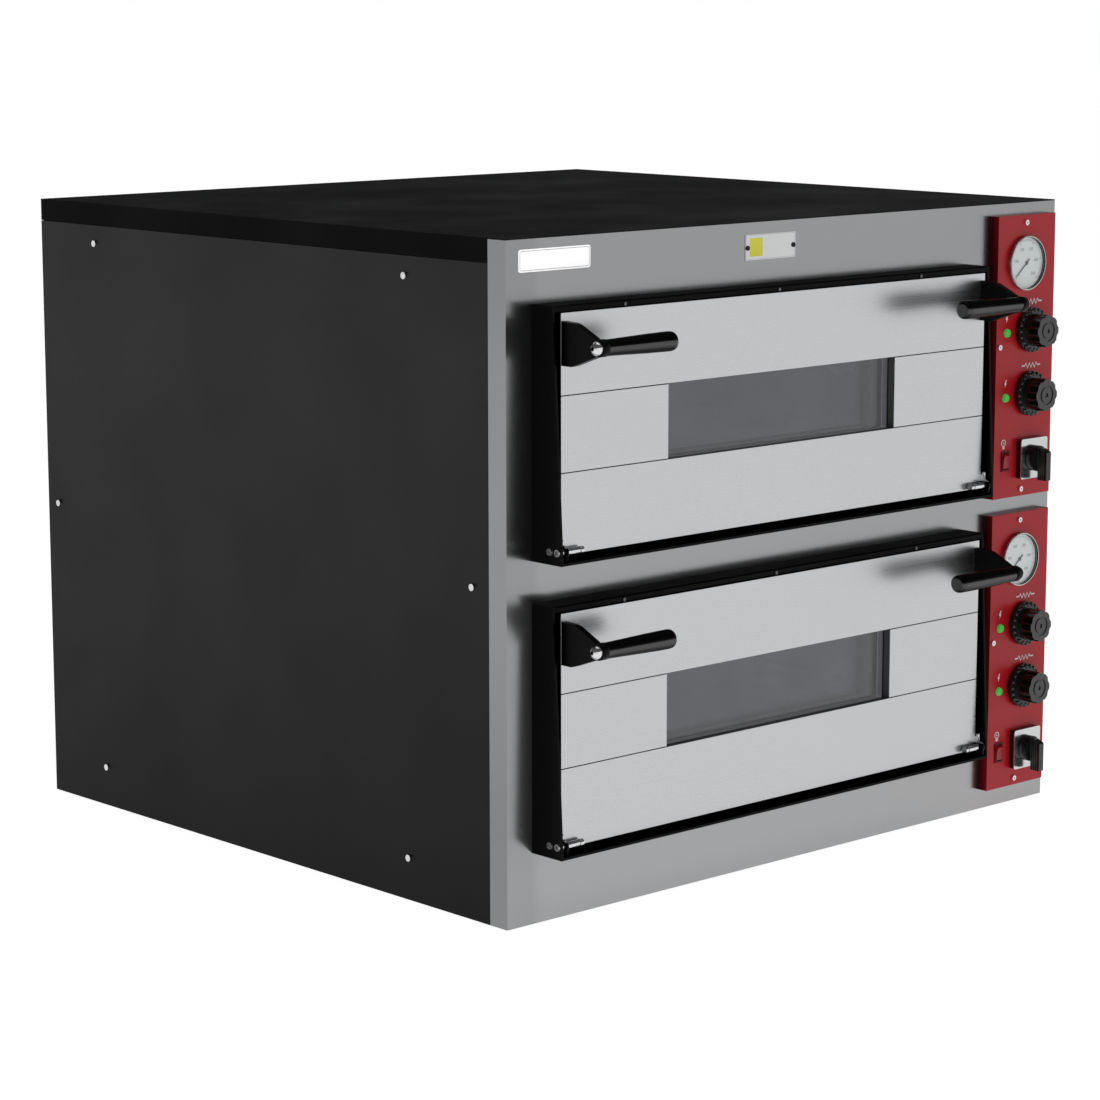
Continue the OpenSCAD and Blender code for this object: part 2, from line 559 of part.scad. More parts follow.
// switch and thermostat housings behind the panel
module control_gear() color([0.3, 0.3, 0.31]) for (k = [0:1]) on_panel(k) {
  for (v = knob_v) at_uv([knob_u, v]) difference() {
    union() {
      rod_y(-panel_d - 0.8, -panel_d + sheet, 5);
      bx([-22, -panel_d + sheet, -19], [22, 24, 19]);
    }
    rod_y(-panel_d - 3, 8, 3.05);
  }
  at_uv([sw_u, sw_v]) {
    difference() {
      union() {
        rod_y(-panel_d - sw_h - 0.4, -panel_d + sheet, 8);
        bx([-22, -panel_d + sheet, -22], [20, 44, 22]);
      }
      rod_y(-panel_d - 12, 0, 3.05);
    }
    // front base of the switch, clamped under the bright plate
    rounded_plate(24.2, 3, -panel_d - sw_h + 1.2, -panel_d);
  }
}

module rocker_bezels() color(c_black) for (k = [0:1]) on_panel(k) at_uv([rk_u, rk_v]) difference() {
  union() {
    bx([-7, -panel_d - 1.4, -12.3], [7, -panel_d, 12.3]);
    bx([-6.3, -panel_d - 0.01, -11.5], [6.3, 12, 11.5]);
  }
  bx([-5.2, -panel_d - 3, -10.4], [5.2, 10, 10.4]);
  translate([0, -panel_d + 3, 0]) rod_x(-5.9, 5.9, 1.55);
}
module light_rocker(k) color([0.7, 0.1, 0.1]) on_panel(k) at_uv([rk_u, rk_v]) translate([0, -panel_d + 3, 0]) rotate([8, 0, 0]) {
  intersection() {
    rod_x(-5, 5, 10.2);
    difference() {
      bx([-5, -7.6, -12], [5, 4, 12]);
      // dished front of the rocker
      translate([0, -42, 0]) rod_x(-7, 7, 36.2);
    }
  }
  // trunnions in the side walls of the bezel
  rod_x(-5.8, 5.8, 1.5);
}
module upper_light_rocker() light_rocker(1);
module lower_light_rocker() light_rocker(0);

// printed marks: heating element, mains and lamp pictures
module panel_symbols() color([0.93, 0.93, 0.93]) for (k = [0:1]) on_panel(k) {
  for (v = knob_v) at_uv([66, v + 34])
    prof_xz(-panel_d - 0.15, 0.15, [[-17.5, -0.75], [-11.5, -0.75], [-9.6, 2.1], [-6.4, -3.9], [-3.2, 2.1], [0, -3.9], [3.2, 2.1], [6.4, -3.9], [9.6, 2.1], [11.5, -0.75], [17.5, -0.75], [17.5, 0.75], [11.5, 0.75], [9.6, 3.9], [6.4, -2.1], [3.2, 3.9], [0, -2.1], [-3.2, 3.9], [-6.4, -2.1], [-9.6, 3.9], [-11.5, 0.75], [-17.5, 0.75]]);
  for (v = lamp_v) at_uv([lamp_u, v + 17])
    prof_xz(-panel_d - 0.15, 0.15, [[0.9, 5], [-2.2, -0.6], [-0.3, -0.6], [-1.1, -5], [2.2, 0.8], [0.3, 0.8], [2.4, 5]]);
  at_uv([rk_u - 3, 68]) {
    difference() { rod_y(-panel_d - 0.15, -panel_d, 4.2); rod_y(-panel_d - 1, 1, 3.2); }
    rod_y(-panel_d - 0.15, -panel_d, 1);
    prof_xz(-panel_d - 0.15, 0.15, [[-1.8, -7.4], [1.8, -7.4], [1.8, -4.5], [-1.8, -4.5]]);
  }
}

/* small plates on the front */
module name_badge() color([0.95, 0.95, 0.95]) place() {
  difference() {
    bx([18, -0.8, 710], [121, 0, 734]);
    for (p = [[18, 710], [118, 710], [18, 731], [118, 731]]) bx([p[0] - 0.01, -1, p[1] - 0.01], [p[0] + 3.01, 1, p[1] + 3.01]);
  }
  for (p = [[21, 713], [118, 713], [21, 731], [118, 731]]) translate([p[0], 0, p[1]]) rod_y(-0.8, 0, 3);
}
module rating_plate() color([0.8, 0.8, 0.8]) place() difference() {
  bx([358, -0.8, 702.7], [439, 0, 731.3]);
  for (x = [361.5, 435.5]) translate([x, 0, 716.5]) rod_y(-2, 1, 1.6);
}

/* mains entry at the rear */
module cable_gland() color(c_black) place() translate([body_w - 80, 0, 90]) difference() {
  union() {
    translate([0, body_d + 5, 0]) rotate([90, 0, 0]) cylinder(h = 5, r = 15, $fn = 6);
    rod_y(body_d + 4.99, body_d + 20, 12.5);
    rod_y(body_d - 12, body_d + 0.01, 10);
    translate([0, body_d - sheet, 0]) rotate([90, 0, 0]) cylinder(h = 4, r = 14.5, $fn = 6);
  }
  rod_y(body_d - 14, body_d + 22, 6.5);
}
module equipotential_stud() color([0.8, 0.7, 0.4]) place() translate([body_w - 40, 0, 60]) {
  rod_y(body_d - 10, body_d + 16, 3);
  translate([0, body_d + 5, 0]) rotate([90, 0, 0]) cylinder(h = 5, r = 5.5, $fn = 6);
  translate([0, body_d - sheet, 0]) rotate([90, 0, 0]) cylinder(h = 5, r = 5.5, $fn = 6);
}

base_pan();
side_panel_left();
side_panel_right();
rear_panel();
top_cover();
fascia();
shell_screws();
upper_chamber();
lower_chamber();
hearth_stones();
heating_elements();
insulation_blankets();
inner_frame();
upper_surround();
lower_surround();
blind_rivets();
hinge_pins();
stop_pins();
upper_control_panel();
lower_control_panel();
control_panel_screws();
gauge_cases();
gauge_dials();
gauge_glasses();
indicator_lamps();
switch_plates();
control_gear();
rocker_bezels();
panel_symbols();
name_badge();
rating_plate();
cable_gland();
equipotential_stud();
chamber_lamps();
upper_door_box();
upper_door_strips();
upper_door_side_plates();
upper_door_panes();
upper_handle_brackets();
upper_handle_grips();
upper_handle_screws();
upper_hinge_lugs();
lower_door_box();
lower_door_strips();
lower_door_side_plates();
lower_door_panes();
lower_handle_brackets();
lower_handle_grips();
lower_handle_screws();
lower_hinge_lugs();
upper_ceiling_knob();
upper_floor_knob();
lower_ceiling_knob();
lower_floor_knob();
upper_main_lever();
lower_main_lever();
upper_light_rocker();
lower_light_rocker();
upper_gauge_needle();
lower_gauge_needle();
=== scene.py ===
import bpy, bmesh, math, json
from mathutils import Vector, Matrix


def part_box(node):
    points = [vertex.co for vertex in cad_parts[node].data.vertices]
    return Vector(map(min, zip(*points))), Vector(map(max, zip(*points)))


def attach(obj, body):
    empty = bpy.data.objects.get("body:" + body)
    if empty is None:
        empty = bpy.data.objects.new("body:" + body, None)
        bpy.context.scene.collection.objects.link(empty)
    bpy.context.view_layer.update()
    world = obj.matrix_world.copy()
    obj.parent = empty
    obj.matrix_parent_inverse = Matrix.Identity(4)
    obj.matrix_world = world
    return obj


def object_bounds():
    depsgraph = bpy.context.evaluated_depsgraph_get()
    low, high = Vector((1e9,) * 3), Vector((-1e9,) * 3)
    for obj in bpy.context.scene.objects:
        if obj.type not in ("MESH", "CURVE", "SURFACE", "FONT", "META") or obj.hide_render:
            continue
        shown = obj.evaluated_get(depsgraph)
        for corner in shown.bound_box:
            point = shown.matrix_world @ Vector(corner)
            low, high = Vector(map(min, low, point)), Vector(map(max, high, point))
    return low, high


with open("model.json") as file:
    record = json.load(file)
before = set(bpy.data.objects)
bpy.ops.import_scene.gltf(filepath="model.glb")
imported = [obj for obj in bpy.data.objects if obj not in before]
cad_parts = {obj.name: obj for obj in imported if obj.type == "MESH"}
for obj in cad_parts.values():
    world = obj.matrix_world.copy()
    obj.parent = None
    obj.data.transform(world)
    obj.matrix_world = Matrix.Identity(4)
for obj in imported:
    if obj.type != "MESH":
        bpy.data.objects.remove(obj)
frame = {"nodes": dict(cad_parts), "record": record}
CAD_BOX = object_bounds()
N = frame["nodes"]
scene = bpy.context.scene

# ---------------------------------------------------------------- materials


class Mat:
    """A principled material with helpers for procedural detail."""

    def __init__(self, name, color, rough=0.4, metal=0.0, **kw):
        self.m = bpy.data.materials.new(name)
        self.m.use_nodes = True
        self.nt = self.m.node_tree
        self.nt.nodes.clear()
        self.out = self.nt.nodes.new("ShaderNodeOutputMaterial")
        self.p = self.nt.nodes.new("ShaderNodeBsdfPrincipled")
        self.nt.links.new(self.p.outputs[0], self.out.inputs[0])
        self.p.inputs["Base Color"].default_value = (*color, 1)
        self.p.inputs["Roughness"].default_value = rough
        self.p.inputs["Metallic"].default_value = metal
        for k, v in kw.items():
            self.p.inputs[k.replace("_", " ")].default_value = v
        self.m.diffuse_color = (*color, 1)
        self.tc = self.nt.nodes.new("ShaderNodeTexCoord")
        self.normal = None

    def link(self, a, b):
        self.nt.links.new(a, b)

    def node(self, kind, **kw):
        n = self.nt.nodes.new(kind)
        for k, v in kw.items():
            setattr(n, k, v)
        return n

    def coords(self, scale=(1, 1, 1), rot=(0, 0, 0)):
        mp = self.node("ShaderNodeMapping")
        mp.inputs["Scale"].default_value = scale
        mp.inputs["Rotation"].default_value = rot
        self.link(self.tc.outputs["Object"], mp.inputs["Vector"])
        return mp.outputs[0]

    def noise(self, vec, scale=1.0, detail=3.0, rough=0.5, distortion=0.0):
        n = self.node("ShaderNodeTexNoise")
        n.inputs["Scale"].default_value = scale
        n.inputs["Detail"].default_value = detail
        n.inputs["Roughness"].default_value = rough
        n.inputs["Distortion"].default_value = distortion
        self.link(vec, n.inputs["Vector"])
        return n.outputs["Fac"]

    def remap(self, fac, a, b, lo, hi):
        n = self.node("ShaderNodeMapRange")
        n.clamp = True
        for i, v in zip(("From Min", "From Max", "To Min", "To Max"), (a, b, lo, hi)):
            n.inputs[i].default_value = v
        self.link(fac, n.inputs["Value"])
        return n.outputs[0]

    def math(self, op, a, b):
        n = self.node("ShaderNodeMath", operation=op)
        for i, v in enumerate((a, b)):
            if isinstance(v, (int, float)):
                n.inputs[i].default_value = v
            else:
                self.link(v, n.inputs[i])
        return n.outputs[0]

    def mix(self, fac, a, b):
        n = self.node("ShaderNodeMix", data_type="RGBA")
        if isinstance(fac, (int, float)):
            n.inputs[0].default_value = fac
        else:
            self.link(fac, n.inputs[0])
        for i, v in ((6, a), (7, b)):
            if isinstance(v, tuple):
                n.inputs[i].default_value = (*v, 1)
            else:
                self.link(v, n.inputs[i])
        return n.outputs[2]

    def rough(self, out):
        self.link(out, self.p.inputs["Roughness"])
        return self

    def color(self, out):
        self.link(out, self.p.inputs["Base Color"])
        return self

    def bump(self, height, strength=0.3, dist=0.0001):
        b = self.node("ShaderNodeBump")
        b.inputs["Strength"].default_value = strength
        b.inputs["Distance"].default_value = dist
        self.link(height, b.inputs["Height"])
        if self.normal is not None:
            self.link(self.normal, b.inputs["Normal"])
        self.normal = b.outputs[0]
        self.link(self.normal, self.p.inputs["Normal"])
        return self

    def soften(self, radius=0.0006):
        """Rounded-looking edges on folded sheet."""
        bv = self.node("ShaderNodeBevel", samples=4)
        bv.inputs["Radius"].default_value = radius
        self.normal = bv.outputs[0]
        self.link(self.normal, self.p.inputs["Normal"])
        return self

    def axis(self, which, source="Object"):
        """One coordinate of the piece's own frame (or of its normal)."""
        sep = self.node("ShaderNodeSeparateXYZ")
        self.link(self.tc.outputs[source], sep.inputs[0])
        return sep.outputs[which]

    def edges(self, radius=0.0012):
        """1 near sharp edges, 0 on flats."""
        bv = self.node("ShaderNodeBevel", samples=4)
        bv.inputs["Radius"].default_value = radius
        g = self.node("ShaderNodeNewGeometry")
        d = self.node("ShaderNodeVectorMath", operation="DOT_PRODUCT")
        self.link(bv.outputs[0], d.inputs[0])
        self.link(g.outputs["Normal"], d.inputs[1])
        return self.remap(d.outputs["Value"], 0.995, 0.86, 0.0, 1.0)


def paint(name, color, rough, spec=0.5, grain=950, grain_h=0.00006, wear=None, mottle=0.12, coat=0.0, soft=0.0, emit=None, foot_shade=None, reveal=None, matte_up=0.0, left_side_shade=None):
    """Powder coat: fine orange peel, slightly uneven gloss, paler worn edges."""
    m = Mat(name, color, rough, Specular_IOR_Level=spec, Coat_Weight=coat)
    if soft:
        m.soften(soft)
    if emit:
        m.p.inputs["Emission Color"].default_value = (*color, 1)
        m.p.inputs["Emission Strength"].default_value = emit
    v = m.coords()
    big = m.noise(v, 7, 4)
    fine = m.noise(v, grain, 2)
    m.rough(m.math("ADD", m.remap(big, 0.3, 0.7, rough * 0.88, rough * 1.12), m.remap(fine, 0.3, 0.7, -0.02, 0.02)))
    dark = tuple(c * (1 - mottle) for c in color)
    lite = tuple(min(1, c * (1 + mottle)) for c in color)
    col = m.mix(m.remap(big, 0.3, 0.7, 0, 1), dark, lite)
    if foot_shade:
        # painted shade: the specular level drops towards the foot, so the lower part reads darker
        z0, z1, lo_spec = foot_shade
        m.link(m.remap(m.axis("Z"), z0, z1, lo_spec, spec), m.p.inputs["Specular IOR Level"])
    for x0, x1, za, zb, tone in reveal or ():
        # lighter grey tone on the walls of each window opening
        inx = m.math("LESS_THAN", m.math("ABSOLUTE", m.math("SUBTRACT", m.axis("X"), (x0 + x1) / 2), 0), (x1 - x0) / 2)
        inz = m.math("LESS_THAN", m.math("ABSOLUTE", m.math("SUBTRACT", m.axis("Z"), (za + zb) / 2), 0), (zb - za) / 2)
        col = m.mix(m.math("MULTIPLY", inx, inz), col, tone)
    if left_side_shade:
        # painted shade: the left-facing side runs from dull red at the front to near black where it meets the front
        # panel, with its gloss turned down
        ya, yb, near, far = left_side_shade
        side = m.remap(m.axis("X", "Normal"), -0.95, -0.8, 1.0, 0.0)
        col = m.mix(side, col, m.mix(m.remap(m.axis("Y"), ya, yb, 0.0, 1.0), near, far))
        m.link(m.remap(side, 0, 1, spec, 0.03), m.p.inputs["Specular IOR Level"])
    if wear:
        col = m.mix(m.math("MULTIPLY", m.edges(), m.remap(m.noise(v, 120, 3), 0.4, 0.65, 0.05, 0.55)), col, wear)
    m.color(col)
    m.bump(fine, 0.35, grain_h)
    m.bump(m.noise(v, 160, 2), 0.12, 0.0001)
    if matte_up:
        # painted shade: where the sheet faces up most of the gloss is swapped for a matte coat of the same colour, so
        # the tops read darker
        df = m.node("ShaderNodeBsdfDiffuse")
        df.inputs["Roughness"].default_value = 1.0
        m.link(col, df.inputs["Color"])
        mx = m.node("ShaderNodeMixShader")
        m.link(m.remap(m.axis("Z", "Normal"), 0.75, 0.95, 0.0, matte_up), mx.inputs[0])
        m.link(m.p.outputs[0], mx.inputs[1])
        m.link(df.outputs[0], mx.inputs[2])
        m.link(mx.outputs[0], m.out.inputs[0])
    return m.m


def brushed(name, color, rough, along="x", fine=1500, contrast=0.022, stretch=2.5, spots=0.35, metal=1.0, aniso=0.3, h=0.000003, soft=0.0, light_zones=None, left=None, lean=None):
    """Brushed sheet metal: long fine lines, uneven sheen, faint smudges."""
    m = Mat(name, color, rough, metal)
    if soft:
        m.soften(soft)
    s = {"x": (stretch, stretch, fine), "z": (fine, fine, stretch), "y": (fine, stretch, fine)}[along]
    lines = m.noise(m.coords(s), 1, 3, 0.6)
    lines2 = m.noise(m.coords(tuple(c * 0.32 for c in s)), 1, 2)
    smudge = m.noise(m.coords(), 5.5, 5, 0.6, 0.4)
    both = m.math("ADD", m.math("MULTIPLY", lines, 0.8), m.math("MULTIPLY", lines2, 0.2))
    dark = tuple(c * (1 - contrast) for c in color)
    lite = tuple(min(1, c * (1 + contrast)) for c in color)
    col = m.mix(m.remap(both, 0.3, 0.7, 0, 1), dark, lite)
    # painted light and shade: the colour is scaled up or down in bands along one axis
    for ax, a, b, lo_k, hi_k in light_zones or ():
        k = m.remap(m.axis(ax), a, b, lo_k, hi_k)
        vm = m.node("ShaderNodeVectorMath", operation="SCALE")
        m.link(col, vm.inputs[0])
        m.link(k, vm.inputs["Scale"])
        col = vm.outputs[0]
    if left:
        # painted shade: the side return darkens towards its foot
        za, zb, lo_k, hi_k = left
        g = m.remap(m.axis("X", "Normal"), -0.95, -0.7, 1.0, 0.0)
        k = m.math("SUBTRACT", 1.0, m.math("MULTIPLY", g, m.math("SUBTRACT", 1.0, m.remap(m.axis("Z"), za, zb, lo_k, hi_k))))
        vm = m.node("ShaderNodeVectorMath", operation="SCALE")
        m.link(col, vm.inputs[0])
        m.link(k, vm.inputs["Scale"])
        col = vm.outputs[0]
    m.color(col)
    if lean:
        # the folded edge of the sheet is sprung slightly outwards
        xa, xb, za, zb, vec = lean
        k = m.math("MULTIPLY", m.remap(m.axis("X"), xa, xb, 1.0, 0.0), m.remap(m.axis("Z"), za, zb, 1.0, 0.0))
        off = m.node("ShaderNodeVectorMath", operation="SCALE")
        off.inputs[0].default_value = vec
        m.link(k, off.inputs["Scale"])
        add = m.node("ShaderNodeVectorMath", operation="ADD")
        m.link(m.normal, add.inputs[0])
        m.link(off.outputs[0], add.inputs[1])
        nrm = m.node("ShaderNodeVectorMath", operation="NORMALIZE")
        m.link(add.outputs[0], nrm.inputs[0])
        m.normal = nrm.outputs[0]
    r = m.math("ADD", m.remap(both, 0.3, 0.7, rough - 0.025, rough + 0.025), m.remap(smudge, 0.35, 0.7, -0.03 * spots, 0.06 * spots))
    m.rough(r)
    m.p.inputs["Anisotropic"].default_value = aniso
    tan = m.node("ShaderNodeTangent", direction_type="RADIAL", axis="Z")
    m.link(tan.outputs[0], m.p.inputs["Tangent"])
    m.bump(lines, 0.25, h)
    return m.m


def plastic(name, color, rough, spec=0.5, grain=1400, grain_h=0.00003, emit=None, face=None, face_y=0.0, sheen=None):
    m = Mat(name, color, rough, Specular_IOR_Level=spec)
    v = m.coords()
    fine = m.noise(v, grain, 2)
    big = m.noise(v, 45, 4)
    m.rough(m.remap(big, 0.3, 0.72, rough * 0.82, rough * 1.25))
    col = m.mix(m.remap(big, 0.3, 0.7, 0, 1), tuple(c * 0.88 for c in color), tuple(min(1, c * 1.12) for c in color))
    if face:
        # painted highlight: faces looking straight ahead are paler, full tone on the front few millimetres and dimmer
        # behind
        flat = m.remap(m.axis("Y", "Normal"), -0.97, -0.85, 1.0, 0.0)
        col = m.mix(flat, col, m.mix(m.math("LESS_THAN", m.axis("Y"), face_y), tuple(c * 0.3 for c in face), face))
    if sheen:
        # painted highlight: higher specular level in a band along the flank, lower below
        lo_s, hi_s = sheen
        nz = m.axis("Z", "Normal")
        band = m.math("MULTIPLY", m.remap(nz, 0.20, 0.11, 0.0, 1.0), m.remap(nz, -0.55, -0.18, 0.0, 1.0))
        m.link(m.remap(band, 0.0, 1.0, lo_s, hi_s), m.p.inputs["Specular IOR Level"])
    m.color(col)
    m.bump(fine, 0.3, grain_h)
    if emit:
        m.p.inputs["Emission Color"].default_value = (*color, 1)
        m.p.inputs["Emission Strength"].default_value = emit
    return m.m


def lug_mat():
    """Bright hinge lug; the band round its pin is painted shade, coloured near black further down."""
    m = Mat("hinge_lug_steel", (0.6, 0.6, 0.61), 0.2, 1.0)
    v = m.coords()
    n = m.noise(v, 260, 4)
    m.rough(m.remap(n, 0.35, 0.7, 0.16, 0.3))
    m.bump(n, 0.12, 0.00003)
    sep = m.node("ShaderNodeSeparateXYZ")
    m.link(m.tc.outputs["Object"], sep.inputs[0])
    return m, sep.outputs["Z"]


def chrome(name, color=(0.78, 0.78, 0.79), rough=0.14):
    m = Mat(name, color, rough, 1.0)
    v = m.coords()
    n = m.noise(v, 260, 4)
    m.rough(m.remap(n, 0.35, 0.7, rough * 0.7, rough * 1.7))
    m.color(m.mix(m.remap(m.noise(v, 90, 4), 0.4, 0.7, 0, 1), color, tuple(c * 0.86 for c in color)))
    m.bump(n, 0.12, 0.00003)
    return m.m


def pane(name, tint, rough=0.02, base=0.045):
    """Thin window pane: straight-through tinted view plus a sharp reflection."""
    m = Mat(name, tint, rough)
    nt = m.nt
    tr = m.node("ShaderNodeBsdfTransparent")
    tr.inputs[0].default_value = (*tint, 1)
    gl = m.node("ShaderNodeBsdfGlossy")
    v = m.coords()
    gl.inputs["Color"].default_value = (0.95, 0.97, 0.98, 1)
    smear = m.noise(v, 14, 5, 0.6, 0.6)
    m.link(m.remap(smear, 0.4, 0.75, rough, rough + 0.08), gl.inputs["Roughness"])
    # same reflectance seen from either side of the pane
    lw = m.node("ShaderNodeLayerWeight")
    lw.inputs["Blend"].default_value = 0.5
    fres = m.math("ADD", m.math("MULTIPLY", m.math("POWER", lw.outputs["Facing"], 5.0), 0.96), base)
    mx = m.node("ShaderNodeMixShader")
    m.link(m.math("MULTIPLY", fres, m.remap(smear, 0.4, 0.7, 1.0, 1.12)), mx.inputs[0])
    m.link(tr.outputs[0], mx.inputs[1])
    m.link(gl.outputs[0], mx.inputs[2])
    nt.links.new(mx.outputs[0], m.out.inputs[0])
    return m.m


def stone_mat():
    m = Mat("fire_stone_tile", (0.62, 0.54, 0.43), 0.9)
    v = m.coords()
    grain = m.noise(v, 420, 5, 0.7)
    blot = m.noise(v, 16, 5, 0.6, 0.3)
    col = m.mix(m.remap(grain, 0.3, 0.7, 0, 1), (0.5, 0.43, 0.33), (0.7, 0.63, 0.52))
    m.color(m.mix(m.remap(blot, 0.5, 0.75, 0, 0.55), col, (0.3, 0.23, 0.16)))
    m.rough(m.remap(grain, 0.3, 0.7, 0.8, 0.98))
    m.bump(grain, 0.6, 0.0006)
    return m.m


def wool_mat():
    m = Mat("mineral_wool_blanket", (0.6, 0.52, 0.3), 0.95, Sheen_Weight=0.3)
    v = m.coords((60, 60, 300))
    f = m.noise(v, 3, 6, 0.75, 1.5)
    m.color(m.mix(m.remap(f, 0.3, 0.7, 0, 1), (0.42, 0.36, 0.2), (0.72, 0.66, 0.44)))
    m.rough(m.remap(f, 0.3, 0.7, 0.85, 1.0))
    m.bump(f, 0.9, 0.002)
    return m.m


def element_mat():
    m = Mat("heater_sheath", (0.12, 0.11, 0.1), 0.5, 0.8)
    v = m.coords()
    n = m.noise(v, 60, 5, 0.6, 0.5)
    m.color(m.mix(m.remap(n, 0.35, 0.7, 0, 1), (0.09, 0.085, 0.08), (0.2, 0.15, 0.12)))
    m.rough(m.remap(n, 0.3, 0.7, 0.4, 0.65))
    m.bump(m.noise(v, 700, 3), 0.4, 0.0001)
    return m.m


frame_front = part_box("fascia")[0].y
panel_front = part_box("upper_control_panel")[0].y
knob_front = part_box("upper_ceiling_knob")[0].y
lever_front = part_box("upper_main_lever")[0].y

MAT = {
    "charcoal_paint": paint("charcoal_powder_coat", (0.0051, 0.0049, 0.0045), 0.45, 0.31, wear=(0.05, 0.05, 0.05), soft=0.0006, foot_shade=(0.0, 0.62, 0.115)),
    "black_paint": paint("black_powder_coat", (0.0009, 0.0009, 0.001), 0.34, 0.06, wear=(0.03, 0.03, 0.03), soft=0.0007, matte_up=0.8),
    "top_paint": paint("black_top_coat", (0.0030, 0.0030, 0.0030), 0.7, 0.07, wear=(0.03, 0.03, 0.03), soft=0.0006, mottle=0.05),
    "handle_black": plastic("handle_black", (0.0022, 0.0022, 0.0022), 0.2, 0.10, sheen=(0.05, 0.85)),
    "bracket_black": paint("bracket_black", (0.0012, 0.0012, 0.0012), 0.34, 0.07, wear=(0.02, 0.02, 0.02)),
    # painted light and shade: brighter along the bottom, darker at the top and towards the left and right edges
    "brushed_stainless": brushed("brushed_front_steel", (0.345, 0.35, 0.355), 0.22, soft=0.0006,
                                 light_zones=(("X", -0.414, -0.40, 0.90, 1.0), ("X", 0.30, 0.44, 1.0, 0.94), ("Z", 0.05, 0.10, 1.10, 1.0), ("Z", 0.60, 0.68, 1.0, 0.94)), left=(0.05, 0.45, 0.76, 0.97),
                                 lean=(-0.414, -0.390, 0.36, 0.40, (-0.14, 0.0, -0.075))),
    # painted light: the door steel grows slightly brighter upwards
    "bright_stainless": brushed("satin_door_steel", (0.55, 0.56, 0.57), 0.28, contrast=0.014, aniso=0.15, h=0.0000015, light_zones=(("Z", 0.05, 0.65, 1.0, 1.06),)),
    "plate_steel": brushed("satin_plate_steel", (0.62, 0.63, 0.63), 0.16, contrast=0.05, fine=2200, stretch=20),
    "polished_steel": chrome("bright_hardware"),
    "rivet_steel": chrome("dark_rivet_steel", (0.02, 0.02, 0.02), 0.3),
    "liner_steel": brushed("aluminised_liner", (0.42, 0.42, 0.40), 0.42, contrast=0.12, aniso=0.0),
    "fire_stone": stone_mat(),
    "element_sheath": element_mat(),
    "mineral_wool": wool_mat(),
    "galvanised": brushed("galvanised_sheet", (0.45, 0.46, 0.47), 0.45, contrast=0.2, fine=90, stretch=60, aniso=0.0),
    "red_paint": paint("red_powder_coat", (0.42, 0.006, 0.012), 0.30, 0.30, wear=(0.5, 0.08, 0.09), mottle=0.03, grain_h=0.00003, soft=0.0007, left_side_shade=(panel_front, frame_front, (0.24, 0.006, 0.012), (0.03, 0.0008, 0.0016))),
    # painted light: the dial card glows faintly
    "dial_face": paint("dial_card", (0.82, 0.83, 0.83), 0.5, 0.3, mottle=0.02, grain_h=0.00001, emit=0.06),
    "clear_glass": pane("gauge_glass", (0.97, 0.98, 0.98)),
    "green_lens": plastic("green_lens", (0.047, 0.38, 0.06), 0.18, 0.5, emit=0.5),
    "black_plastic": plastic("black_moulding", (0.003, 0.003, 0.003), 0.16, 0.5, face=(0.037, 0.037, 0.039), face_y=knob_front + 0.004),
    "lever_plastic": plastic("lever_moulding", (0.0022, 0.0022, 0.0022), 0.2, 0.42, face=(0.024, 0.024, 0.025), face_y=lever_front + 0.004),
    "white_print": paint("white_print", (0.8, 0.8, 0.8), 0.5, 0.3, mottle=0.04, grain_h=0.00001),
    # painted light: the badge glows to read brighter
    "white_plastic": paint("white_badge", (0.93, 0.93, 0.93), 0.3, 0.3, mottle=0.01, grain_h=0.00001, emit=0.52),
    "brass": chrome("brass_stud", (0.75, 0.55, 0.25), 0.22),
    "lamp_ceramic": plastic("lamp_body", (0.75, 0.72, 0.64), 0.25, 0.5),
    "oven_glass": pane("window_pane", (0.757, 0.757, 0.785), base=0.07),
    "red_plastic": plastic("red_rocker", (0.36, 0.006, 0.010), 0.25, 0.5),
    "bezel_red": plastic("rocker_bezel_red", (0.10, 0.002, 0.004), 0.35, 0.3),
    "needle_black": paint("needle_paint", (0.008, 0.008, 0.008), 0.4, 0.4),
    "dial_ink": paint("dial_ink", (0.24, 0.24, 0.24), 0.5, 0.2, mottle=0.05, grain_h=0.00001),
    "spacer_bar": brushed("pane_spacer_bar", (0.5, 0.5, 0.51), 0.4, contrast=0.08, fine=400, stretch=30, aniso=0.0),
    "badge_line": paint("badge_keyline", (0.35, 0.35, 0.36), 0.4, 0.3, mottle=0.03, grain_h=0.00001),
    # painted light: the patch glows faintly
    "yellow_patch": paint("yellow_patch", (0.72, 0.69, 0.06), 0.42, 0.3, mottle=0.03, grain_h=0.00001, emit=0.14),
    "recess_grey": paint("recess_shade", (0.16, 0.16, 0.16), 0.5, 0.2, mottle=0.05, grain_h=0.00001),
}
pn = Mat("pin_steel", (0.7, 0.7, 0.71), 0.2, 1.0)
pnn = pn.noise(pn.coords(), 260, 4)
pn.rough(pn.remap(pnn, 0.35, 0.7, 0.14, 0.28))
pn.color(pn.mix(pn.remap(pn.axis("X", "Normal"), -0.9, -0.6, 1.0, 0.0), (0.72, 0.72, 0.73), (0.2, 0.2, 0.205)))
pn.bump(pnn, 0.12, 0.00003)
MAT["pin_steel"] = pn.m
gc = Mat("gauge_case_steel", (0.5, 0.5, 0.51), 0.2, 1.0)
gcn = gc.noise(gc.coords(), 260, 4)
gc.rough(gc.remap(gcn, 0.35, 0.7, 0.14, 0.34))
ga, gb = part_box("gauge_cases")
gr, gx = (gb.x - ga.x) / 2, (ga.x + gb.x) / 2
high = gc.math("GREATER_THAN", gc.axis("Z"), (ga.z + gb.z) / 2)
gz = gc.remap(high, 0, 1, ga.z + gr, gb.z - gr)
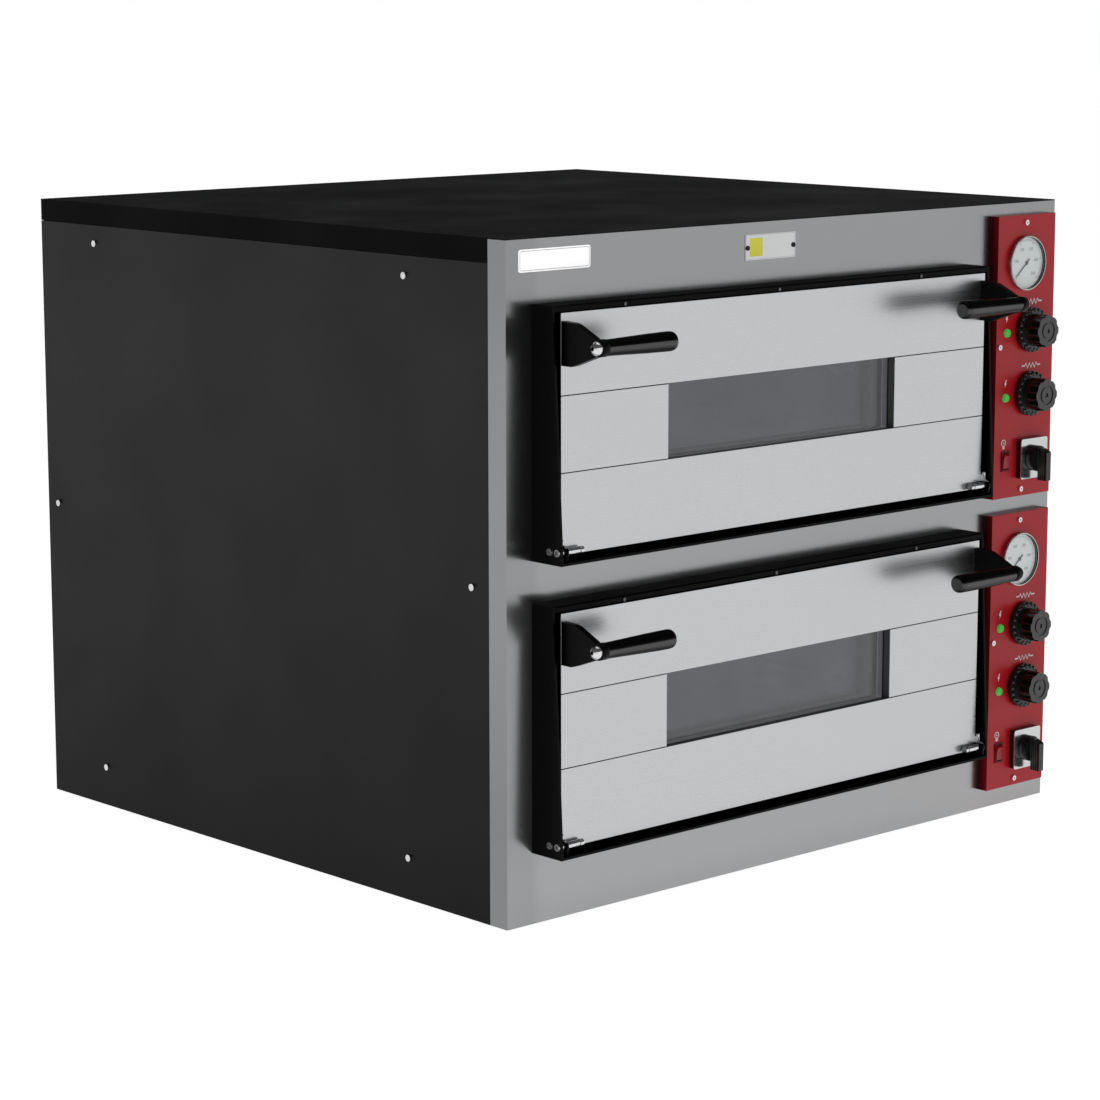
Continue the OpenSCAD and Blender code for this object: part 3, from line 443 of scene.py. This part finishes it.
# painted shade: faces turned in towards the dial are coloured near black
inward = gc.math("ADD", gc.math("MULTIPLY", gc.math("SUBTRACT", gc.axis("X"), gx), gc.axis("X", "Normal")),
                 gc.math("MULTIPLY", gc.math("SUBTRACT", gc.axis("Z"), gz), gc.axis("Z", "Normal")))
gc.color(gc.mix(gc.math("LESS_THAN", inward, -0.015), gc.mix(gc.remap(gcn, 0.4, 0.7, 0, 1), (0.5, 0.5, 0.51), (0.43, 0.43, 0.44)), (0.012, 0.012, 0.012)))
gc.bump(gcn, 0.12, 0.00003)
MAT["gauge_case"] = gc.m
for deck in ("upper", "lower"):
    sa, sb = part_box(deck + "_handle_screws")
    hs = Mat(deck + "_button_screw", (0.78, 0.78, 0.79), 0.14, 1.0)
    hn = hs.noise(hs.coords(), 260, 4)
    hs.rough(hs.remap(hn, 0.35, 0.7, 0.1, 0.24))
    # painted shade: the right-hand screws' flanks and a spot round each socket are coloured near black
    dy = hs.math("SUBTRACT", hs.axis("Y"), (sa.y + sb.y) / 2)
    dz = hs.math("SUBTRACT", hs.axis("Z"), (sa.z + sb.z) / 2)
    off = hs.math("ADD", hs.math("MULTIPLY", dy, dy), hs.math("MULTIPLY", dz, dz))
    flank_shade = hs.math("MULTIPLY", hs.math("GREATER_THAN", hs.axis("X"), 0.0), hs.math("LESS_THAN", hs.axis("X", "Normal"), 0.6))
    dark = hs.math("MAXIMUM", flank_shade, hs.math("LESS_THAN", off, 0.0023 ** 2))
    hs.color(hs.mix(dark, (0.75, 0.75, 0.76), (0.01, 0.01, 0.01)))
    hs.bump(hn, 0.12, 0.00003)
    MAT[deck + "_screw"] = hs.m
rv = Mat("rivet_heads", (0.02, 0.02, 0.02), 0.3, 1.0)
rvn = rv.noise(rv.coords(), 260, 4)
rv.rough(rv.remap(rvn, 0.35, 0.7, 0.2, 0.4))
rv.color(rv.mix(rv.math("LESS_THAN", rv.axis("Y"), frame_front - 0.02), (0.02, 0.02, 0.02), (0.11, 0.11, 0.11)))
rv.bump(rvn, 0.12, 0.00003)
MAT["rivet_mixed"] = rv.m
lug, lug_z = lug_mat()
MAT["hinge_steel"] = lug.m
NODE_MAT = {"top_cover": "top_paint", "switch_plates": "plate_steel", "rating_plate": "plate_steel",
            "gauge_cases": "gauge_case", "upper_handle_screws": "upper_screw", "lower_handle_screws": "lower_screw", "hinge_pins": "pin_steel", "stop_pins": "pin_steel", "blind_rivets": "rivet_mixed", "rocker_bezels": "bezel_red"}
for deck in ("upper", "lower"):
    NODE_MAT[deck + "_handle_grips"] = "handle_black"
    NODE_MAT[deck + "_handle_brackets"] = "bracket_black"
    NODE_MAT[deck + "_hinge_lugs"] = "hinge_steel"
    NODE_MAT[deck + "_main_lever"] = "lever_plastic"

wins = []
for deck in ("upper", "lower"):
    (pl, ph), (sl, sh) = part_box(deck + "_door_panes"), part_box(deck + "_door_strips")
    wins.append((pl.x + 0.007, ph.x - 0.007, pl.z + 0.0019, ph.z - 0.009))
MAT["door_box_paint"] = paint("door_box_coat", (0.0008, 0.0008, 0.0009), 0.34, 0.08, wear=(0.03, 0.03, 0.03), soft=0.0007,
                              reveal=[(a - 0.002, b + 0.002, c - 0.002, d + 0.002, (0.078, 0.078, 0.078)) for a, b, c, d in wins])
NODE_MAT["upper_door_box"] = NODE_MAT["lower_door_box"] = "door_box_paint"
# painted light: the spacer bars glow faintly in place of the light scattered between the panes
for n in MAT["spacer_bar"].node_tree.nodes:
    if n.type == "BSDF_PRINCIPLED":
        n.inputs["Emission Color"].default_value = (0.9, 0.9, 0.92, 1)
        n.inputs["Emission Strength"].default_value = 0.15

SLOT = {s["node"]: s["material_slot"] for s in frame["record"]["subparts"]}

# edge rounding per node, in metres; sheet pieces with holes get theirs in the material
ROUND = {
    "switch_plates": 0.0003, "rocker_bezels": 0.0003, "hearth_stones": 0.0012,
    "upper_door_strips": 0.0004, "lower_door_strips": 0.0004, "upper_door_side_plates": 0.0004,
    "lower_door_side_plates": 0.0004, "upper_handle_brackets": 0.0012, "lower_handle_brackets": 0.0012,
    "upper_main_lever": 0.0008, "lower_main_lever": 0.0008, "control_gear": 0.0006,
    "upper_ceiling_knob": 0.0006, "upper_floor_knob": 0.0006, "lower_ceiling_knob": 0.0006,
    "lower_floor_knob": 0.0006, "shell_screws": 0.0008, "control_panel_screws": 0.0008,
    "hinge_pins": 0.0005, "stop_pins": 0.0005, "blind_rivets": 0.0004, "gauge_cases": 0.0005,
    "indicator_lamps": 0.0008, "upper_hinge_lugs": 0.0003, "lower_hinge_lugs": 0.0003,
    "cable_gland": 0.0005,
}

for name, obj in N.items():
    mat = MAT[NODE_MAT.get(name, SLOT[name])]
    if obj.material_slots:
        for s in obj.material_slots:
            s.material = mat
    else:
        obj.data.materials.append(mat)
    r = ROUND.get(name, 0)
    if r:
        w = obj.modifiers.new("weld", "WELD")
        w.merge_threshold = 0.000002
        b = obj.modifiers.new("round", "BEVEL")
        b.width = r
        b.segments = 2
        b.limit_method = "ANGLE"
        b.angle_limit = math.radians(32)
        b.harden_normals = True
        b.use_clamp_overlap = True

# ---------------------------------------------------------------- helpers for new pieces


def piece(name, bm, body, mat, smooth=False):
    me = bpy.data.meshes.new(name)
    bm.normal_update()
    bm.to_mesh(me)
    bm.free()
    for p in me.polygons:
        p.use_smooth = smooth
    o = bpy.data.objects.new(name, me)
    scene.collection.objects.link(o)
    me.materials.append(mat)
    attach(o, body)
    return o


def ribbon(bm, pts, width, y, t, closed=False):
    """A mitred strip of constant width along pts in the X-Z plane, t thick, its front at y."""
    n = len(pts)
    left, right = [], []
    for i in range(n):
        a = Vector(pts[i - 1]) if (i > 0 or closed) else None
        b = Vector(pts[i])
        c = Vector(pts[(i + 1) % n]) if (i < n - 1 or closed) else None
        d1 = (b - a).normalized() if a is not None else (c - b).normalized()
        d2 = (c - b).normalized() if c is not None else d1
        d = (d1 + d2)
        d = d.normalized() if d.length > 1e-6 else d1
        k = max(0.5, d.dot(d1))
        off = Vector((-d.y, d.x)) * (width / 2 / k)
        left.append(b + off)
        right.append(b - off)
    fl = [bm.verts.new((q.x, y, q.y)) for q in left]
    fr = [bm.verts.new((q.x, y, q.y)) for q in right]
    bl = [bm.verts.new((q.x, y + t, q.y)) for q in left]
    br = [bm.verts.new((q.x, y + t, q.y)) for q in right]
    for i in range(n if closed else n - 1):
        j = (i + 1) % n
        for quad in ((fl[i], fr[i], fr[j], fl[j]), (bl[j], br[j], br[i], bl[i]), (fl[j], bl[j], bl[i], fl[i]), (fr[i], br[i], br[j], fr[j])):
            bm.faces.new(quad)
    if not closed:
        bm.faces.new((fr[0], fl[0], bl[0], br[0]))
        bm.faces.new((fl[-1], fr[-1], br[-1], bl[-1]))


def arc(cx, cz, rx, rz, a0, a1, n):
    return [(cx + rx * math.cos(math.radians(a0 + (a1 - a0) * i / n)), cz + rz * math.sin(math.radians(a0 + (a1 - a0) * i / n))) for i in range(n + 1)]


# digits as centre lines in a 0.6 x 1 cell
DIGIT = {
    "0": (arc(0.3, 0.5, 0.24, 0.46, 0, 345, 23), True),
    "1": ([(0.12, 0.76), (0.36, 0.96), (0.36, 0.04)], False),
    "2": (arc(0.3, 0.72, 0.23, 0.24, 165, -25, 10) + [(0.08, 0.06), (0.55, 0.06)], False),
    "3": (arc(0.28, 0.73, 0.22, 0.23, 150, -70, 9) + arc(0.28, 0.27, 0.25, 0.24, 70, -150, 9), False),
    "4": ([(0.44, 0.04), (0.44, 0.94), (0.06, 0.3), (0.57, 0.3)], False),
    "5": ([(0.52, 0.95), (0.15, 0.95), (0.12, 0.56)] + arc(0.28, 0.31, 0.26, 0.27, 105, -150, 11), False),
}


def write(bm, text, cx, cz, h, width, y, t):
    w = 0.72 * h
    x0 = cx - w * len(text) / 2 + 0.06 * h
    for k, ch in enumerate(text):
        pts, closed = DIGIT[ch]
        ribbon(bm, [(x0 + k * w + a * h, cz - h / 2 + b * h) for a, b in pts], width, y, t, closed)


def block(bm, cx, cy, cz, dx, dy, dz, spin=0.0):
    """A chamfer-free cuboid, turned about Y by spin, added to bm."""
    vs = []
    for sx in (-1, 1):
        for sy in (-1, 1):
            for sz in (-1, 1):
                x, z = sx * dx / 2, sz * dz / 2
                vs.append(bm.verts.new((cx + x * math.cos(spin) - z * math.sin(spin), cy + sy * dy / 2, cz + x * math.sin(spin) + z * math.cos(spin))))
    for f in ((0, 1, 3, 2), (4, 6, 7, 5), (0, 4, 5, 1), (2, 3, 7, 6), (0, 2, 6, 4), (1, 5, 7, 3)):
        bm.faces.new([vs[i] for i in f])


def rounded(cx, cz, w, h, r, n=6):
    pts = []
    for sx, sz, a in ((1, 1, 0), (-1, 1, 90), (-1, -1, 180), (1, -1, 270)):
        pts += arc(cx + sx * (w / 2 - r), cz + sz * (h / 2 - r), r, r, a, a + 90, n)
    return pts


# printed scale of each gauge
lo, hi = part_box("gauge_dials")
dial_r = (hi.x - lo.x) / 2
for deck, zc in (("upper", hi.z - dial_r), ("lower", lo.z + dial_r)):
    bm = bmesh.new()
    xc, yf = (lo.x + hi.x) / 2, lo.y - 0.00008
    for i in range(51):
        a = math.radians(225 - 270 * i / 50)
        major, mid = i % 10 == 0, i % 5 == 0
        r1 = dial_r - 0.0022
        r0 = r1 - (0.0036 if major else 0.0026 if mid else 0.0016)
        ribbon(bm, [(xc + r0 * math.cos(a), zc + r0 * math.sin(a)), (xc + r1 * math.cos(a), zc + r1 * math.sin(a))],
               0.0007 if major else 0.0004, yf, 0.00006)
    ribbon(bm, arc(xc, zc, dial_r - 0.0021, dial_r - 0.0021, 225, -45, 90), 0.00035, yf, 0.00006)
    for i in range(6):
        a = math.radians(225 - 54 * i)
        write(bm, str(i * 100) if i else "0", xc + 0.0185 * math.cos(a), zc + 0.0185 * math.sin(a), 0.0036, 0.0005, yf, 0.00006)
    piece(deck + "_gauge_scale", bm, "cabinet", MAT["dial_ink"])

# keyline round the plain badge
lo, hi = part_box("name_badge")
bm = bmesh.new()
ribbon(bm, rounded((lo.x + hi.x) / 2, (lo.z + hi.z) / 2, hi.x - lo.x - 0.0036, hi.z - lo.z - 0.0036, 0.0022), 0.0006, lo.y - 0.0001, 0.00008, True)
piece("badge_keyline", bm, "cabinet", MAT["badge_line"])

# plain coloured patch and stamped border on the small plate
lo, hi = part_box("rating_plate")
bm = bmesh.new()
pts = rounded(lo.x + 0.0172, (lo.z + hi.z) / 2, 0.0205, 0.0205, 0.0012)
front = [bm.verts.new((x, lo.y - 0.00018, z)) for x, z in pts]
back = [bm.verts.new((x, lo.y, z)) for x, z in pts]
bm.faces.new(front[::-1])
bm.faces.new(back)
for i in range(len(pts)):
    j = (i + 1) % len(pts)
    bm.faces.new((front[i], front[j], back[j], back[i]))
bmesh.ops.recalc_face_normals(bm, faces=bm.faces)
piece("plate_patch", bm, "cabinet", MAT["yellow_patch"])
bm = bmesh.new()
ribbon(bm, rounded((lo.x + hi.x) / 2, (lo.z + hi.z) / 2, hi.x - lo.x - 0.002, hi.z - lo.z - 0.002, 0.0012), 0.0003, lo.y - 0.0001, 0.00008, True)
piece("plate_border", bm, "cabinet", MAT["badge_line"])

# spacer bars that hold the two panes of each window apart
for deck, (a, b, c, d) in zip(("upper", "lower"), wins):
    pl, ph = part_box(deck + "_door_panes")
    y0, t, w = pl.y + 0.0043, 0.0062, 0.0026
    bm = bmesh.new()
    ribbon(bm, rounded((a + b) / 2, (c + d) / 2, b - a + 0.0004 + w, d - c + 0.0004 + w, 0.0012, 3), w, y0, t, True)
    piece(deck + "_pane_spacer", bm, deck + "_door", MAT["spacer_bar"])

# cross recesses of the pan-head screws
bm = bmesh.new()
lo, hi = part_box("control_panel_screws")
pa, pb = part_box("upper_control_panel")
qa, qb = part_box("lower_control_panel")
ph = pb.z - pa.z
for a in (pa, qa):
    for u, v, spin in ((0.051, ph - 0.0093, 0.3), (0.0058, 0.1854, 0.9), (0.051, 0.0086, 0.6)):
        for k in (0, 1):
            block(bm, a.x + u, lo.y, a.z + v, 0.0030, 0.0001, 0.0007, spin + k * math.pi / 2)
piece("panel_screw_recesses", bm, "cabinet", MAT["recess_grey"])

# ---------------------------------------------------------------- stage, light, camera

fm = Mat("studio_floor", (0.85, 0.85, 0.85), 0.9)
fn = fm.noise(fm.coords(), 3, 4)
fm.rough(fm.remap(fn, 0.3, 0.7, 0.85, 0.95))
fm.p.inputs["Emission Color"].default_value = (1, 1, 1, 1)
flp = fm.node("ShaderNodeLightPath")
fm.link(fm.remap(flp.outputs["Is Camera Ray"], 0, 1, 0.78, 0.92), fm.p.inputs["Emission Strength"])
bm = bmesh.new()
bmesh.ops.create_circle(bm, cap_ends=True, segments=96, radius=30)
me = bpy.data.meshes.new("floor")
bm.to_mesh(me)
bm.free()
floor = bpy.data.objects.new("floor", me)
me.materials.append(fm.m)
scene.collection.objects.link(floor)
floor.location = (0, 0, CAD_BOX[0].z - 0.0005)

world = bpy.data.worlds.new("studio")
scene.world = world
world.use_nodes = True
nt = world.node_tree
nt.nodes.clear()
wo = nt.nodes.new("ShaderNodeOutputWorld")
tc = nt.nodes.new("ShaderNodeTexCoord")
sep = nt.nodes.new("ShaderNodeSeparateXYZ")
nt.links.new(tc.outputs["Generated"], sep.inputs[0])


def wmap(src, a, b, lo, hi):
    n = nt.nodes.new("ShaderNodeMapRange")
    n.interpolation_type = "SMOOTHSTEP"
    for i, v in zip(("From Min", "From Max", "To Min", "To Max"), (a, b, lo, hi)):
        n.inputs[i].default_value = v
    nt.links.new(src, n.inputs["Value"])
    return n.outputs[0]


def wmath(op, a, b):
    n = nt.nodes.new("ShaderNodeMath")
    n.operation = op
    for i, v in enumerate((a, b)):
        if isinstance(v, (int, float)):
            n.inputs[i].default_value = v
        else:
            nt.links.new(v, n.inputs[i])
    return n.outputs[0]


# bright softbox band round the horizon in front and to the right, dim overhead and behind
band = wmap(sep.outputs["Z"], 0.20, 0.30, 1.0, 0.0)
facing = wmath("ADD", wmath("MULTIPLY", sep.outputs["X"], 0.62), wmath("MULTIPLY", sep.outputs["Y"], -0.78))
side = wmap(facing, -0.55, 0.35, 0.22, 1.0)
level = wmath("ADD", wmath("MULTIPLY", wmath("MULTIPLY", band, side), 0.90), 0.08)
bg = nt.nodes.new("ShaderNodeBackground")
bg.inputs[0].default_value = (0.985, 0.99, 1.0, 1)
nt.links.new(level, bg.inputs[1])
white = nt.nodes.new("ShaderNodeBackground")
white.inputs[0].default_value = (1, 1, 1, 1)
white.inputs[1].default_value = 1.0
lp = nt.nodes.new("ShaderNodeLightPath")
mx = nt.nodes.new("ShaderNodeMixShader")
nt.links.new(lp.outputs["Is Camera Ray"], mx.inputs[0])
nt.links.new(bg.outputs[0], mx.inputs[1])
nt.links.new(white.outputs[0], mx.inputs[2])
nt.links.new(mx.outputs[0], wo.inputs[0])


def area(name, loc, target, size, power, color=(1, 1, 1)):
    l = bpy.data.lights.new(name, "AREA")
    l.shape = "RECTANGLE"
    l.size, l.size_y = size
    l.energy = power
    l.color = color
    o = bpy.data.objects.new(name, l)
    scene.collection.objects.link(o)
    o.location = loc
    o.rotation_euler = (Vector(target) - Vector(loc)).to_track_quat("-Z", "Y").to_euler()
    return o


area("soft_over", (0.3, -0.6, 4.2), (0, 0, 0.4), (3.0, 3.0), 22)

# painted shade: a near-black band round each hinge pin on the front of the lug
edge = None
for deck in ("upper", "lower"):
    a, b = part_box(deck + "_hinge_lugs")
    up = lug.math("GREATER_THAN", lug_z, b.z - 0.0108)
    under = lug.math("LESS_THAN", lug_z, b.z + 0.002)
    both = lug.math("MULTIPLY", up, under)
    edge = both if edge is None else lug.math("MAXIMUM", edge, both)
edge = lug.math("MULTIPLY", edge, lug.math("LESS_THAN", lug.axis("Y"), frame_front - 0.035))
lug.color(lug.mix(edge, (0.004, 0.004, 0.004), (0.62, 0.62, 0.63)))

cam = bpy.data.cameras.new("camera")
cam.sensor_width = 36
cam.lens = 108.59
cam.clip_end = 200
co = bpy.data.objects.new("camera", cam)
scene.collection.objects.link(co)
fwd = Vector((0.66514, 0.72657, -0.17228)).normalized()
right = Vector((0.73750, -0.67535, -0.00087)).normalized()
right = (right - fwd * right.dot(fwd)).normalized()
up = right.cross(fwd).normalized()
rot = Matrix((right, up, -fwd)).transposed().to_4x4()
rot.translation = Vector((-2.7524, -3.0127, 1.0228))
co.matrix_world = rot
scene.camera = co
scene.view_settings.view_transform = "Standard"
scene.view_settings.look = "None"
scene.view_settings.exposure = 0
scene.view_settings.gamma = 1
